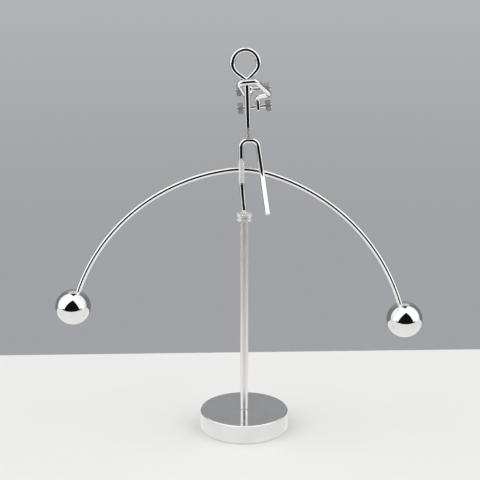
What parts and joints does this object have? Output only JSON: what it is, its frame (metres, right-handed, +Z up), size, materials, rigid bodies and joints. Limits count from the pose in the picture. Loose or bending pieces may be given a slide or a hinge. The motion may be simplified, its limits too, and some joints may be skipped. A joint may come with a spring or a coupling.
{
  "type": "counterweight balancing toy",
  "caption": "Bent-wire figure that stands on one foot in a cup on a slim post and is kept upright by polished balls hung on a long curved rod; it spins, rocks and tips.",
  "frame": {"origin": "centre of the pad's underside, on the post's axis, at the level of the table", "axes": "+Z up along the post; +X along the span of the balance rod, to the right as pictured; +Y away from the camera, the way the figure faces"},
  "size_m": [0.2463, 0.06, 0.2584],
  "materials": {
    "base_chrome": "polished",
    "wire_chrome": "polished",
    "ball_chrome": "polished",
    "weight_steel": "satin",
    "post_satin": "satin",
    "screw_steel": "satin",
    "solder": "matte",
    "pad_foam": "matte"
  },
  "bodies": {
    "stand": {"base_disc": "base_chrome", "base_pad": "pad_foam", "post_screw": "screw_steel", "post": "post_satin", "post_collar": "post_satin"},
    "cup": {"pivot_cup": "post_satin"},
    "ball": {"pivot_ball": "screw_steel"},
    "figure": {"leg_wire": "wire_chrome", "body_wire": "wire_chrome", "arm_wire": "wire_chrome", "upper_bar": "wire_chrome", "upper_left_weight": "weight_steel", "upper_right_weight": "weight_steel", "lower_bar": "wire_chrome", "lower_left_weight": "weight_steel", "lower_right_weight": "weight_steel", "balance_rod": "wire_chrome", "left_ball": "ball_chrome", "right_ball": "ball_chrome", "rod_solder": "solder", "hip_solder": "solder"}
  },
  "joints": [
    {"name": "spin", "type": "hinge", "parent": "stand", "child": "cup", "pos_m": [0, 0, 0.14999], "axis": [0, 0, 1], "continuous": true},
    {"name": "tip", "type": "hinge", "parent": "cup", "child": "ball", "pos_m": [0, 0, 0.14999], "axis": [1, 0, 0], "range_deg": [-20, 20]},
    {"name": "rock", "type": "hinge", "parent": "ball", "child": "figure", "pos_m": [0, 0, 0.14999], "axis": [0, 1, 0], "range_deg": [-20, 20]}
  ]
}
